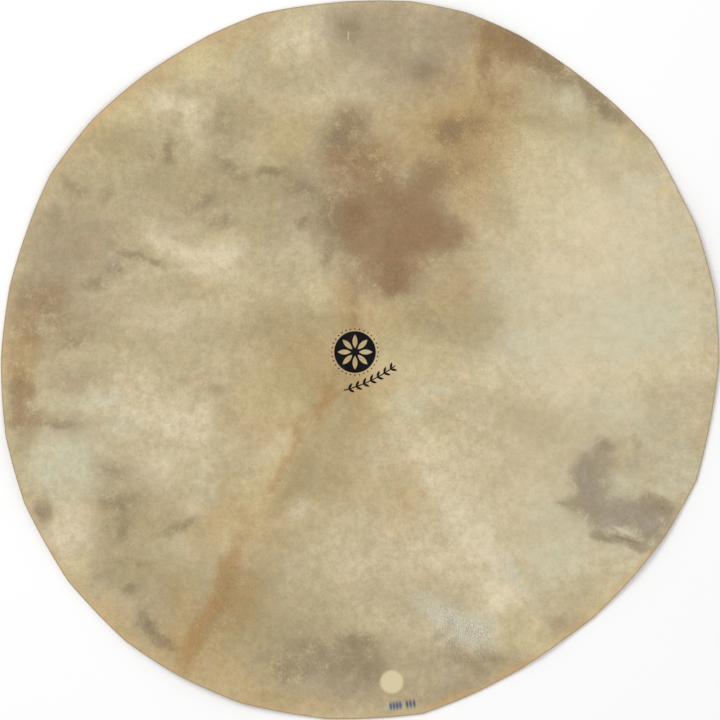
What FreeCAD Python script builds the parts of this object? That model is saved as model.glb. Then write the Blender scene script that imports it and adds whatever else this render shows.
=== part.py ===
"""A loose natural rawhide drum skin, hand-cut to a round blank and lying flat, grain side up.

The origin is the middle of the blank's box, on its underside. +Z is up, out of the grain side that
is played. +Y is the way up that the printed mark is read, with its sprig below the roundel.
"""

import FreeCAD
import Part
import math
import os

from FreeCAD import Vector

# Driving dimensions, in millimetres and degrees.
BLANK_RADIUS = 279.5  # a 22 inch (559 mm) blank
HIDE_THICKNESS = 2.0
CUT_BULGE = 0.55  # how much of a true circle's bow each scissor cut keeps, from 0, straight, to 1

# Where the scissors turned: the direction from the centre, and how far inside (-) or outside (+)
# the marked circle that corner lies.
CUT_CORNERS = [
    (0, -0.8),
    (11, 0.4),
    (22, 1.2),
    (27, 0.4),
    (37, 3.6),
    (45, 1.2),
    (54, 0.0),
    (64, 1.8),
    (73, 3.0),
    (82, 2.2),
    (92, -0.2),
    (106, 1.2),
    (115, -0.6),
    (127, -1.2),
    (138, 0.4),
    (149, 1.4),
    (155, -0.4),
    (168, -0.6),
    (180, 0.0),
    (192, 2.2),
    (203, 4.2),
    (217, 5.4),
    (230, 5.0),
    (240, 3.2),
    (251, 2.4),
    (265, 0.6),
    (280, -0.4),
    (289, -5.8),
    (298, -9.2),
    (305, -10.9),
    (312, -9.7),
    (321, -9.0),
    (330, -6.0),
    (340.5, -2.0),
    (349, -3.3),
]

# The printed mark on the grain side.
INK_THICKNESS = 0.05
MARK_CENTRE = (-3.9, 6.2)
ROUNDEL_RADIUS = 16.2
PETALS = 8
PETAL_START = 3.0  # distances from the roundel's centre
PETAL_END = 13.6
PETAL_WIDTH = 3.9
DOTS = 32
DOT_RADIUS = 0.55
DOT_CIRCLE_RADIUS = 18.0
SPRIG_START = (-12.6, -23.6)
SPRIG_END = (27.4, -4.4)
SPRIG_BOW = 2.2
STEM_WIDTH = 0.9
LEAF_PAIRS = 7
LEAF_LENGTH = 5.6
LEAF_WIDTH = 1.9
LEAF_ANGLE = 42.0  # away from the stem

# The maker's paper label and ink stamp on the flesh side, near the edge.
LABEL_CENTRE = (24.7, -250.3)
LABEL_RADIUS = 9.2
LABEL_THICKNESS = 0.1
STAMP_CENTRE = (33.4, -268.0)
STAMP_TILT = 7.0
STAMP_BARS = [-9.4, -6.9, -4.4, -1.9, 3.4, 6.2, 9.0]  # each bar's middle, along the stamp
BAR_WIDTH = 1.5
BAR_HEIGHT = 6.8
STAMP_DEPTH = 0.05


def polar(radius, degrees, centre=(0, 0), z=0):
    angle = math.radians(degrees)
    return Vector(centre[0] + radius * math.cos(angle), centre[1] + radius * math.sin(angle), z)


def bowed(start, end, rise):
    """An arc from start to end that rises to the right of its chord by `rise`."""
    chord = end - start
    outward = Vector(chord.y, -chord.x, 0).normalize()
    return Part.Arc(start, (start + end) * 0.5 + outward * rise, end).toShape()


def plate(edges, thickness, z):
    """A flat plate with the given closed outline, from z upwards."""
    face = Part.Face(Part.Wire(edges))
    face.translate(Vector(0, 0, z))
    return face.extrude(Vector(0, 0, thickness))


def blank_outline():
    """The hand-cut outline, moved so that its box is centred on the origin."""
    corners = [polar(BLANK_RADIUS + inset, angle) for angle, inset in CUT_CORNERS]
    cuts = []
    for start, end in zip(corners, corners[1:] + corners[:1]):
        full_bow = start.distanceToPoint(end) ** 2 / (8 * BLANK_RADIUS)
        cuts.append(bowed(start, end, full_bow * CUT_BULGE))
    middle = Part.Wire(cuts).BoundBox.Center
    for cut in cuts:
        cut.translate(-middle)
    return cuts


def lens(start, end, width, thickness, z):
    """A petal or leaf: two equal arcs from point to point."""
    return plate([bowed(start, end, width / 2), bowed(end, start, width / 2)], thickness, z)


def make_roundel():
    """The round print, with its rosette of petals left clear."""
    top = HIDE_THICKNESS
    roundel = Part.makeCylinder(ROUNDEL_RADIUS, INK_THICKNESS, Vector(*MARK_CENTRE, top))
    for step in range(PETALS):
        turn = 90 + step * 360 / PETALS
        start = polar(PETAL_START, turn, MARK_CENTRE)
        end = polar(PETAL_END, turn, MARK_CENTRE)
        roundel = roundel.cut(lens(start, end, PETAL_WIDTH, INK_THICKNESS, top))
    return roundel


def make_dots():
    """The circle of separate dots round the roundel."""
    dots = []
    for step in range(DOTS):
        place = polar(DOT_CIRCLE_RADIUS, step * 360 / DOTS, MARK_CENTRE, HIDE_THICKNESS)
        dots.append(Part.makeCylinder(DOT_RADIUS, INK_THICKNESS, place))
    return Part.makeCompound(dots)


def make_sprig():
    """The leafy sprig below the roundel: one bowed stem with leaves in pairs and a leaf at its tip."""
    start = Vector(*SPRIG_START, 0)
    end = Vector(*SPRIG_END, 0)
    stem_line = bowed(start, end, SPRIG_BOW).Curve
    first, last = stem_line.parameter(start), stem_line.parameter(end)
    flat = dict(thickness=INK_THICKNESS, z=HIDE_THICKNESS)
    stem_edges = [
        bowed(start, end, SPRIG_BOW + STEM_WIDTH / 2),
        bowed(end, start, STEM_WIDTH / 2 - SPRIG_BOW),
    ]
    sprig = plate(stem_edges, **flat)
    for step in range(LEAF_PAIRS):
        along = (step + 0.6) / (LEAF_PAIRS + 0.4)
        place = first + (last - first) * along
        root = stem_line.value(place)
        ahead = stem_line.value(place + (last - first) * 0.01) - root
        heading = math.degrees(math.atan2(ahead.y, ahead.x))
        for side in (-1, 1):
            tip = polar(LEAF_LENGTH, heading + side * LEAF_ANGLE, (root.x, root.y))
            sprig = sprig.fuse(lens(root, tip, LEAF_WIDTH, **flat))
    return sprig.removeSplitter()


def make_label():
    """The round paper label, pressed flush into the soft flesh side."""
    return Part.makeCylinder(LABEL_RADIUS, LABEL_THICKNESS, Vector(*LABEL_CENTRE, 0))


def make_stamp():
    """The row of ink bars that has soaked into the flesh side."""
    bars = []
    for middle in STAMP_BARS:
        corner = Vector(middle - BAR_WIDTH / 2, -BAR_HEIGHT / 2, 0)
        bar = Part.makeBox(BAR_WIDTH, BAR_HEIGHT, STAMP_DEPTH, corner)
        bar.rotate(Vector(0, 0, 0), Vector(0, 0, 1), STAMP_TILT)
        bar.translate(Vector(*STAMP_CENTRE, 0))
        bars.append(bar)
    return Part.makeCompound(bars)


def make_hide(sunk):
    """The rawhide blank, with room for what lies flush in its flesh side."""
    hide = plate(blank_outline(), HIDE_THICKNESS, 0)
    for piece in sunk:
        hide = hide.cut(piece)
    return hide


label = make_label()
stamp = make_stamp()
nodes = {
    "hide_blank": make_hide([label, stamp]),
    "mark_roundel": make_roundel(),
    "mark_dots": make_dots(),
    "mark_sprig": make_sprig(),
    "paper_label": label,
    "ink_stamp": stamp,
}

os.makedirs("parts", exist_ok=True)
for name, shape in nodes.items():
    shape.exportStep(f"parts/{name}.step")
    box = shape.BoundBox
    print(f"{name}: {len(shape.Solids)} solids, valid {shape.isValid()}, {shape.Volume:.2f} mm3,",
          f"{box.XLength:.1f} x {box.YLength:.1f} x {box.ZLength:.2f} mm,",
          f"centre {box.Center.x:.2f}, {box.Center.y:.2f}")
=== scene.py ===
# %% [markdown]
# # A loose rawhide drum skin
#
# The object is one round blank of natural rawhide, cut out by hand, lying flat before anyone soaks
# it and laps it over a hoop. There is no frame to build, so nearly all the work is in one sheet:
# the line of its cut edge, the slight waves it dried with, and above all the cloudy colour of its
# grain side. Smaller pieces lie on it: a printed mark on top, a paper label and an ink stamp below.
#
# Everything is in metres, with the skin's middle at the origin and its underside on the floor.

# %% Load the CAD model
import math

import bmesh
import bpy
import numpy as np
from mathutils import Matrix, Vector, noise as hills


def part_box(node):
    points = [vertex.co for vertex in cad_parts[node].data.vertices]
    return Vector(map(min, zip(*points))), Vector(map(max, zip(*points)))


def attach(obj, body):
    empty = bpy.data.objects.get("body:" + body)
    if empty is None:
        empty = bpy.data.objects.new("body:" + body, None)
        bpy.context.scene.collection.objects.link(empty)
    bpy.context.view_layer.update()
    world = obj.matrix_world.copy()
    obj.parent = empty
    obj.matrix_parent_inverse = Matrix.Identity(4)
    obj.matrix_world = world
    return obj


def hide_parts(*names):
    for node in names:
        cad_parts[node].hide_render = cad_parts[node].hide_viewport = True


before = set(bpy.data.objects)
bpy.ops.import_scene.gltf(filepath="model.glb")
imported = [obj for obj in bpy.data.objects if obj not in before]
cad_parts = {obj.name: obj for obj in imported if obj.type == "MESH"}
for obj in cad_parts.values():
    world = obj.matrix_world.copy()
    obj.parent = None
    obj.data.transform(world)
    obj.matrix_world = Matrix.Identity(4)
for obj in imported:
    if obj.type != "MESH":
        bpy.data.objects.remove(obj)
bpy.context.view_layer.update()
MM = 0.001
BODY = "root"
hide_low, hide_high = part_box("hide_blank")
THICKNESS = hide_high.z - hide_low.z
print(f"the blank is {hide_high.x - hide_low.x:.4f} x {hide_high.y - hide_low.y:.4f} m,",
      f"{THICKNESS / MM:.2f} mm thick")

# %% [markdown]
# ## The camera
#
# A skin like this is looked at from straight above, so that its outline isn't squashed. A long lens
# far away keeps the view nearly parallel, and the distance is worked out from the width that the
# picture has to hold: the skin, with a hair's breadth of white round it.

# %% The camera, straight above
PICTURE_WIDTH = 0.5598
LENS = 135.0
camera_data = bpy.data.cameras.new("overhead_camera")
camera_data.lens = LENS
camera = bpy.data.objects.new("overhead_camera", camera_data)
bpy.context.scene.collection.objects.link(camera)
camera_height = PICTURE_WIDTH * LENS / camera_data.sensor_width
camera.location = (0, 0, camera_height + THICKNESS)
bpy.context.scene.camera = camera
print(f"the camera is {camera_height:.2f} m above the skin")

# %% [markdown]
# ## The cut edge
#
# The blank was marked as a circle and cut with shears, one long snip after another. Where the
# shears turned there is a soft corner, and between corners the cut is straighter than the circle.
# So the outline is a short list of corners, each a direction and how far off the circle it lies,
# joined by shallow arcs. A perfect circle would be easier, and would look machine-made.

# %% The outline, from the corners of the cuts
BLANK_RADIUS = 279.5 * MM
CUT_BULGE = 0.55  # how much of a true circle's bow each cut keeps
STEPS_PER_CUT = 16
CUT_CORNERS = [  # direction in degrees, distance off the circle in mm
    (0, -0.8), (11, 0.4), (22, 1.2), (27, 0.4), (37, 3.6), (45, 1.2), (54, 0.0), (64, 1.8),
    (73, 3.0), (82, 2.2), (92, -0.2), (106, 1.2), (115, -0.6), (127, -1.2), (138, 0.4),
    (149, 1.4), (155, -0.4), (168, -0.6), (180, 0.0), (192, 2.2), (203, 4.2), (217, 5.4),
    (230, 5.0), (240, 3.2), (251, 2.4), (265, 0.6), (280, -0.4), (289, -5.8), (298, -9.2),
    (305, -10.9), (312, -9.7), (321, -9.0), (330, -6.0), (340.5, -2.0), (349, -3.3),
]


def cut_outline():
    """The points of the cut edge, anticlockwise from +X, centred on the middle of their own box."""
    corners = np.array([
        ((BLANK_RADIUS + off * MM) * math.cos(math.radians(turn)),
         (BLANK_RADIUS + off * MM) * math.sin(math.radians(turn)))
        for turn, off in CUT_CORNERS
    ])
    share = np.linspace(0, 1, STEPS_PER_CUT, endpoint=False)[:, None]
    points = []
    for start, end in zip(corners, np.roll(corners, -1, axis=0)):
        chord = end - start
        length = np.linalg.norm(chord)
        outward = np.array([chord[1], -chord[0]]) / length
        bow = CUT_BULGE * length**2 / (8 * BLANK_RADIUS)
        points.append(start + chord * share + outward * bow * 4 * share * (1 - share))
    points = np.concatenate(points)
    return points - (points.max(axis=0) + points.min(axis=0)) / 2


outline = cut_outline()
print(f"the cut edge has {len(outline)} points")

# %% [markdown]
# ## The waves it dried with
#
# Rawhide dries stiff and never quite flat. This one touches the floor in its middle and at a few
# places round the edge, and between them it rises a few millimetres. A cloth simulation could
# make waves, but here a rule is enough: a handful of low swells are added up, then flattened where
# the skin rests. One function gives the height anywhere, so that the ink and the label can follow.

# %% The height of the underside above the floor
SWELLS = [  # middle x and y, reach along and across, turn in degrees, height, all in mm
    (-205, 175, 90, 60, 40, 5.0),
    (60, 262, 80, 55, 0, 3.6),
    (262, 70, 95, 60, 80, 5.6),
    (-268, -70, 90, 55, 95, 4.2),
    (-120, -235, 80, 55, -30, 4.8),
    (112, -176, 84, 26, -58, 3.0),
    (215, -150, 60, 45, -55, 3.0),
    (-110, 60, 95, 38, -14, 1.6),
    (110, 110, 90, 70, 50, 1.8),
]
REST_PLACES = [(4, -4, 40), (29, -258, 26)]  # where it lies dead flat: x, y and radius, in mm
REST_FADE = 75 * MM
LABEL_LIFT = 0.15 * MM  # the skin rides over the paper label on its underside
label_low, label_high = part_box("paper_label")
label_middle = (label_low + label_high) / 2
LABEL_RADIUS = (label_high.x - label_low.x) / 2
LIFT_REACH = 2.6 * LABEL_RADIUS


def swell_height(x, y):
    """How high the skin's underside is above the floor at x and y, which may be arrays."""
    height = np.zeros_like(np.asarray(x, float))
    for middle_x, middle_y, along, across, turn, rise in SWELLS:
        dx, dy = x - middle_x * MM, y - middle_y * MM
        c, s = math.cos(math.radians(turn)), math.sin(math.radians(turn))
        u, v = (dx * c + dy * s) / (along * MM), (dy * c - dx * s) / (across * MM)
        height = height + rise * MM * np.exp(-(u**2 + v**2))
    for rest_x, rest_y, radius in REST_PLACES:
        away = np.hypot(x - rest_x * MM, y - rest_y * MM)
        share = np.clip((away - radius * MM) / REST_FADE, 0, 1)
        height = height * share * share * (3 - 2 * share)
    near_label = np.hypot(x - label_middle.x, y - label_middle.y) / LIFT_REACH
    return height + LABEL_LIFT * np.exp(-near_label**4)


rim_height = swell_height(outline[:, 0], outline[:, 1])
print(f"the edge rises from {rim_height.min() / MM:.2f} to {rim_height.max() / MM:.2f} mm")

# %% [markdown]
# ## The sheet
#
# The sheet is one closed mesh. Rings of points run outwards from a single middle point to the cut
# edge, over its 2 mm thickness, and back underneath. The top has many rings, because the colour
# clouds are painted onto its points; the underside needs few. Near the edge a ring is only a
# fraction of a millimetre from the next, so that the cut's corners are slightly rounded.

# %% Rings of points, from the middle to the cut and back
GRAIN_RINGS, FLESH_RINGS = 112, 24
EDGE_ZONE = 4.0 * MM
EDGE_INSETS = [2.4, 1.2, 0.6, 0.3]  # mm in from the cut
CUT_PROFILE = [(0.12, 0.94), (0.02, 0.80), (0.0, 0.5), (0.03, 0.18), (0.14, 0.05)]  # inset, level
GRAIN_SIDE, CUT_SIDE, FLESH_SIDE = 0, 1, 2
edge_radius = np.linalg.norm(outline, axis=1)
around = len(outline)


def face_insets(count):
    """How far in from the cut each ring of a face is, from the middle outwards."""
    shares = np.linspace(0, 1, count + 1)[1:]
    inner = [(1 - share) * edge_radius + share * EDGE_ZONE for share in shares]
    return inner + [np.full(around, inset * MM) for inset in EDGE_INSETS]


grain_insets, flesh_insets = face_insets(GRAIN_RINGS), face_insets(FLESH_RINGS)
rings = [(inset, 1.0) for inset in grain_insets]
rings += [(np.full(around, inset * MM), level) for inset, level in CUT_PROFILE]
rings += [(inset, 0.0) for inset in reversed(flesh_insets)]
ring_sides = [GRAIN_SIDE] * (len(grain_insets) - 1)
ring_sides += [CUT_SIDE] * (len(CUT_PROFILE) + 1)
ring_sides += [FLESH_SIDE] * (len(flesh_insets) - 1)
print(f"{len(rings)} rings of {around} points")


# %% The sheet's mesh
def sheet_points():
    """Every ring's points, then the two middle points."""
    levels = []
    for inset, level in rings:
        flat = outline * (1 - inset / edge_radius)[:, None]
        height = swell_height(flat[:, 0], flat[:, 1]) + THICKNESS * level
        levels.append(np.column_stack([flat, height]))
    middle = float(swell_height(0.0, 0.0))
    return np.concatenate(levels + [np.array([[0, 0, middle + THICKNESS], [0, 0, middle]])])


def sheet_faces():
    """The quads between rings, and a fan at each middle point, all facing outwards."""
    here = np.arange(around)
    following = (here + 1) % around
    faces = []
    for k in range(len(rings) - 1):
        inner, outer = k * around, (k + 1) * around
        faces += np.column_stack(
            [inner + here, outer + here, outer + following, inner + following]).tolist()
    last, top = (len(rings) - 1) * around, len(rings) * around
    faces += np.column_stack([np.full(around, top), here, following]).tolist()
    faces += np.column_stack([np.full(around, top + 1), last + following, last + here]).tolist()
    return faces


def add_piece(name, mesh):
    """Puts a mesh into the scene as a finished piece at the origin."""
    piece = bpy.data.objects.new(name, mesh)
    bpy.context.scene.collection.objects.link(piece)
    return piece


def store(mesh, name, values):
    """Keeps one number per point on the mesh, for its material to read."""
    mesh.attributes.new(name, "FLOAT", "POINT").data.foreach_set("value", values.astype(np.float32))


points = sheet_points()
skin_mesh = bpy.data.meshes.new("rawhide_skin")
skin_mesh.from_pydata(points.tolist(), [], sheet_faces())
sides = np.repeat(ring_sides + [GRAIN_SIDE, FLESH_SIDE], around).astype(np.int32)
skin_mesh.polygons.foreach_set("material_index", sides)
skin_mesh.polygons.foreach_set("use_smooth", np.ones(len(sides), bool))
store(skin_mesh, "from_cut", np.concatenate([inset for inset, level in rings] + [edge_radius[:2]]))
store(skin_mesh, "level", np.concatenate([np.repeat([level for inset, level in rings], around), [1, 0]]))
skin = add_piece("rawhide_skin", skin_mesh)
print(f"the skin has {len(sides)} faces, and rises to {points[:, 2].max() / MM:.1f} mm")

# %% [markdown]
# ## Clouds of pigment
#
# The colour of a hide is clouds within clouds: where dark hair grew, where fat or a bruise lay
# under the skin, where the scraper passed twice. A plain noise texture would make a hide, but not
# this hide. So each pigment is laid on in strokes, like a watercolour: soft ovals with a place, a
# length, a width and a strength. They are painted onto the mesh's points, where hundreds of strokes
# cost nothing to render, and the material breaks up their edges later with fine noise. Broad strokes
# come first in each list, and the small ones after them even out or sharpen what is there.

# %% Laying on a pigment in strokes
STROKE_CORE = 0.1  # the share of an oval's radius that is at full strength
STROKE_END = 1.6  # the share of its radius at which it has faded out
WANDER_SIZE, WANDER_REACH = 16 * MM, 4 * MM  # how the strokes' shapes are pulled about
WANDER_SEED = 22  # the noise starts from the clock if it is given no seed


def wandered(flat):
    """The points moved about a little, so that an oval painted on them isn't a neat oval."""
    moved = flat.copy()
    for k, (x, y) in enumerate(flat):
        here = Vector((x, y, 0)) / WANDER_SIZE
        sway = hills.noise_vector(here) + hills.noise_vector(here * 2.7) * 0.4
        moved[k] += (sway.x * WANDER_REACH, sway.y * WANDER_REACH)
    return moved


hills.seed_set(WANDER_SEED)
canvas = wandered(points[:, :2])


def lay(name, strokes):
    """Adds up strokes of x, y, half length, half width, all in mm, turn if any, and strength."""
    amount = np.zeros(len(canvas))
    for x, y, long, wide, *turned, strength in strokes:
        offset = canvas - (x * MM, y * MM)
        turn = math.radians(turned[0] if turned else 0)
        c, s = math.cos(turn), math.sin(turn)
        u = (offset[:, 0] * c + offset[:, 1] * s) / (long * MM)
        v = (offset[:, 1] * c - offset[:, 0] * s) / (wide * MM)
        share = np.clip((STROKE_END - np.hypot(u, v)) / (STROKE_END - STROKE_CORE), 0, 1)
        amount += strength * share * share * (3 - 2 * share)
    store(skin_mesh, name, amount)
    print(f"{name}: {len(strokes)} strokes")


# %% Warm tan, in a halo round the dark patches and along the line of the spine
lay("warm", [
    (95, 190, 30, 60, -10, 0.9), (60, 190, 50, 30, 0.6), (90, 130, 20, 30, 0.5), (30, 165, 30, 14, 0.5),
    (45, 45, 60, 30, 0.4), (10, 35, 30, 20, 0.5), (105, 250, 30, 30, 0.5), (80, 60, 20, 20, 0.4),
    (-180, 203, 90, 9, 38, 0.6), (-110, 247, 30, 11, 25, 0.6), (-200, 177, 20, 12, 40, 0.4),
    (-65, 264, 30, 8, 15, 0.3), (-80, -115, 30, 20, 30, 0.5), (-90, -135, 20, 18, 0.7),
    (-80, -45, 30, 30, 0.4), (-50, 0, 50, 40, 0.4), (-120, -130, 16, 24, 40, 0.5),
    (-190, -205, 30, 9, -50, 0.6), (-110, -238, 50, 20, -20, 0.7), (-60, -264, 50, 8, -5, 0.6),
    (-30, -80, 40, 40, 0.3), (30, -100, 24, 30, 0.35), (40, -120, 16, 20, 0.35), (10, -15, 24, 20, 0.5),
    (0, -60, 20, 40, 0.45), (180, -202, 40, 9, 42, 0.6), (120, -250, 24, 6, 28, 0.5),
    (230, -150, 16, 8, 50, 0.4), (-55, -60, 14, 14, 0.4), (-60, -140, 24, 16, 0.35),
    (-100, -100, 20, 16, 0.3), (-140, -190, 20, 30, 0.4), (-10, -10, 30, 20, 0.3),
    (-55, 178, 26, 24, 0.55), (20, -60, 20, 20, 0.4), (-140, -222, 14, 12, 0.4), (30, 62, 34, 16, 0.4),
    (-100, -140, 14, 16, 0.3), (-142, -222, 12, 10, 0.3), (-40, 4, 34, 26, 0.25),
])

# %% Straw yellow, where the hide is thin and fat has soaked in
lay("straw", [
    (130, 165, 26, 34, 0.5), (150, 120, 36, 36, 0.5), (205, 172, 16, 8, -40, 0.8), (60, 205, 30, 12, 0.4),
    (170, 110, 20, 30, 0.4), (40, 10, 30, 20, 0.5), (180, 66, 12, 10, 0.4), (20, 45, 16, 10, 0.4),
    (-125, 232, 22, 14, 0.8), (-185, 190, 20, 12, 30, 0.5), (-60, 178, 20, 20, 0.2),
    (-75, 150, 14, 10, 0.3), (-30, 195, 14, 14, 0.2), (-65, 240, 10, 10, 0.4), (-190, 160, 14, 10, 0.4),
    (-30, 50, 16, 14, 0.5), (-100, 50, 30, 14, 0.3), (-65, -75, 18, 16, 40, 0.5),
    (-80, -100, 16, 14, 0.5), (-222, -162, 12, 10, 0.8), (-60, -242, 16, 10, 0.4),
    (-60, -30, 30, 20, 0.4), (60, -60, 16, 30, 0.5), (60, 5, 40, 20, 0.4), (115, -190, 20, 20, 0.5),
    (130, -210, 18, 12, -30, 0.7), (190, -185, 20, 8, 45, 0.6), (245, -5, 30, 14, 0.5),
    (200, -15, 40, 16, 0.3), (30, -40, 20, 20, 0.3), (100, -15, 20, 10, 0.4),
    (140, -218, 18, 12, -30, 0.4), (-98, -140, 14, 12, 0.6), (102, -222, 16, 12, 0.3),
    (140, 222, 14, 12, -40, 0.3), (142, -222, 12, 10, -30, 0.3), (-80, -140, 34, 16, 0.25),
    (-138, -182, 12, 12, 0.25), (120, 226, 24, 10, -40, 0.2), (258, 20, 10, 24, 0.3),
    (80, 98, 34, 14, 0.25), (-20, -60, 20, 18, 0.25), (-62, -74, 22, 5, 62, 0.6),
    (-82, -122, 14, 8, 60, 0.35),
])

# %% Pale cream, scraped thin and clean
lay("pale", [
    (205, 70, 84, 100, 0.6), (165, 60, 46, 46, 0.2), (145, 72, 14, 10, 0.3), (190, 110, 30, 24, 0.35),
    (2, 213, 16, 12, 0.3), (-45, 255, 20, 16, 0.6), (-50, 205, 30, 16, 0.15),
    (-150, 200, 20, 8, -10, 0.5), (-131, 190, 7, 14, 10, 0.7), (-126, 172, 7, 14, 0.2),
    (-152, 104, 18, 5, -8, 0.4), (-158, 95, 14, 7, 0.45), (-142, 85, 20, 7, -25, 0.7),
    (-120, 78, 20, 10, 0.75), (-98, 85, 14, 7, 30, 0.6), (-115, 65, 20, 8, 0.4), (-240, 122, 10, 6, 0.3),
    (-150, 30, 30, 20, 0.3), (-60, 90, 20, 12, 0.3), (-10, 214, 14, 12, 0.15), (256, -20, 18, 30, 0.3),
    (100, -60, 30, 20, 0.2), (-155, -85, 18, 16, 0.7), (-130, -50, 18, 14, 0.5), (-160, -45, 30, 14, 0.4),
    (-140, -60, 40, 30, 0.25), (70, -165, 90, 50, 0.4), (60, -60, 50, 40, 0.15),
    (200, -160, 30, 40, 40, 0.3), (-60, -60, 16, 7, 20, 0.2), (-70, -72, 8, 12, -40, 0.3),
    (-220, -125, 20, 14, -40, 0.7), (-236, -140, 8, 18, 30, 0.9), (-200, -35, 30, 12, 0.3),
    (-145, -145, 14, 8, 0.4), (-135, -118, 10, 8, 0.5), (-48, -115, 12, 8, 0.4),
    (75, -115, 60, 18, -58, 0.5), (105, -150, 24, 9, -60, 0.4), (108, -183, 14, 16, 0.6),
    (120, -100, 40, 30, 0.3), (140, 0, 60, 30, 0.4), (160, -20, 30, 20, 0.35), (-180, -18, 24, 16, 0.35),
    (-222, -138, 16, 14, 0.35), (222, 20, 30, 20, 0.2), (-20, 258, 14, 12, 0.3), (30, 236, 40, 24, 0.1),
    (-185, 60, 50, 16, 0.15), (-100, 20, 24, 20, 0.14), (-165, -100, 34, 20, 0.2),
    (-180, -142, 16, 14, 0.15), (-96, -142, 16, 14, 0.15), (-60, -180, 20, 18, 0.2),
    (-22, 258, 20, 10, 0.2), (-180, 142, 22, 18, 0.15), (100, 220, 18, 12, 0.15),
    (182, 142, 24, 24, 0.15),
])

# %% Cool, faintly green white, where the skin is clearest, and as painted sheen over the polished patch
lay("cool_and_sheen", [
    (215, 40, 50, 20, 0.6), (215, 135, 16, 10, 0.6), (180, 170, 16, 12, 0.5), (110, 50, 20, 30, 0.5),
    (120, 10, 40, 20, 0.4), (160, 205, 16, 10, -40, 0.5), (248, 95, 10, 16, 0.6), (200, 20, 60, 20, 0.4),
    (-225, -75, 30, 22, 0.9), (-240, -85, 20, 20, 0.5), (-185, -50, 12, 10, 0.5),
    (-220, -95, 24, 16, 0.6), (-215, -30, 30, 10, 0.4), (10, -70, 20, 24, 0.3), (-120, -100, 14, 14, 0.4),
    (58, -22, 12, 5, 10, 0.7), (250, -80, 14, 20, 0.8), (240, -100, 16, 10, 0.5), (200, -97, 16, 10, 0.7),
    (220, -50, 30, 16, 0.5), (190, -35, 30, 16, 0.4), (40, -35, 16, 10, 0.4), (145, -115, 14, 16, 0.5),
    (140, -160, 20, 20, 0.5), (160, -150, 20, 20, 0.5), (225, -75, 20, 16, 0.5),
    # Painted sheen: these strokes and the next one lay a pale tint where the light shines off the polished
    # patch.
    (120, -170, 16, 4, -50, 0.8), (78, -205, 26, 12, -35, 0.8), (55, -190, 16, 10, -20, 0.5),
    (95, -205, 10, 14, 0.5), (160, -70, 30, 20, 0.3), (-60, -150, 30, 20, 0.2),
    (205, -112, 34, 18, -10, 0.6), (215, -135, 24, 10, -15, 0.5), (182, -122, 44, 36, 0.35),
    (215, 20, 24, 20, 0.2), (182, -104, 18, 22, 0.65), (218, -130, 26, 16, -10, 0.55),
    (222, 40, 30, 60, 0.2), (-100, 182, 22, 14, 0.2),
])

# %% Olive tan, the common mottling of the hide
lay("olive", [
    (90, 200, 10, 16, 0.3), (95, 30, 14, 24, -30, 0.5), (45, 35, 14, 10, 0.3), (128, 187, 20, 4, 0.4),
    (185, 150, 30, 10, -50, 0.2), (110, 120, 12, 20, 0.3), (-175, 150, 50, 30, 0.5),
    (-120, 135, 40, 16, 0.5), (-90, 190, 20, 16, 0.4), (-90, 125, 24, 20, 0.3), (-60, 25, 30, 20, 0.7),
    (-75, 100, 20, 20, 0.3), (-110, 20, 30, 14, 0.4), (-170, 15, 30, 12, 0.3), (-190, 170, 14, 12, 0.5),
    (-20, 30, 16, 16, 0.5), (-140, 55, 30, 10, 0.3), (-175, -125, 34, 28, 0.6), (-180, -165, 20, 12, 0.6),
    (-150, -110, 20, 30, 0.15), (-160, -160, 30, 20, 0.4), (-15, -50, 26, 22, 0.5),
    (-25, -85, 26, 16, 0.2), (-40, -95, 26, 16, 0.6), (-80, -190, 26, 26, 0.7), (-80, -220, 30, 20, 0.6),
    (-40, -200, 40, 20, 0.4), (-60, -170, 40, 20, 0.2), (-120, -175, 16, 20, 0.4),
    (-60, -140, 14, 10, 0.3), (-105, -40, 10, 16, 0.3), (60, -45, 14, 10, 0.4),
    (75, -190, 12, 8, -20, 0.4), (120, -205, 10, 12, 0.3), (155, -205, 10, 5, 0.4),
    (-98, 184, 14, 20, 0.6), (-60, 140, 24, 16, 0.5), (-20, 180, 16, 20, 0.4), (-60, -20, 24, 20, 0.4),
    (-20, -20, 24, 16, 0.4), (60, 180, 30, 20, 0.3), (150, 186, 26, 14, -20, 0.35),
    (60, 25, 50, 26, 0.55), (-140, -188, 14, 20, 30, 0.5), (-262, -60, 10, 10, 0.3),
    (-100, 150, 20, 12, 0.3), (215, 178, 14, 10, -45, 0.5), (40, -180, 40, 16, 0.3),
    (-60, 215, 20, 10, 0.3), (-60, -262, 20, 8, 0.3), (60, 215, 20, 12, 0.3),
    (183, 182, 16, 12, -45, 0.4), (-55, 140, 24, 20, 0.3), (-60, 180, 24, 20, 0.3),
    (180, -180, 20, 14, 40, 0.25), (-100, -178, 16, 16, 0.25), (-45, 4, 30, 22, 0.25),
    (-88, -190, 40, 14, 60, 0.5), (-44, -86, 26, 8, 62, 0.6), (-62, -112, 14, 8, 50, 0.35),
])

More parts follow.
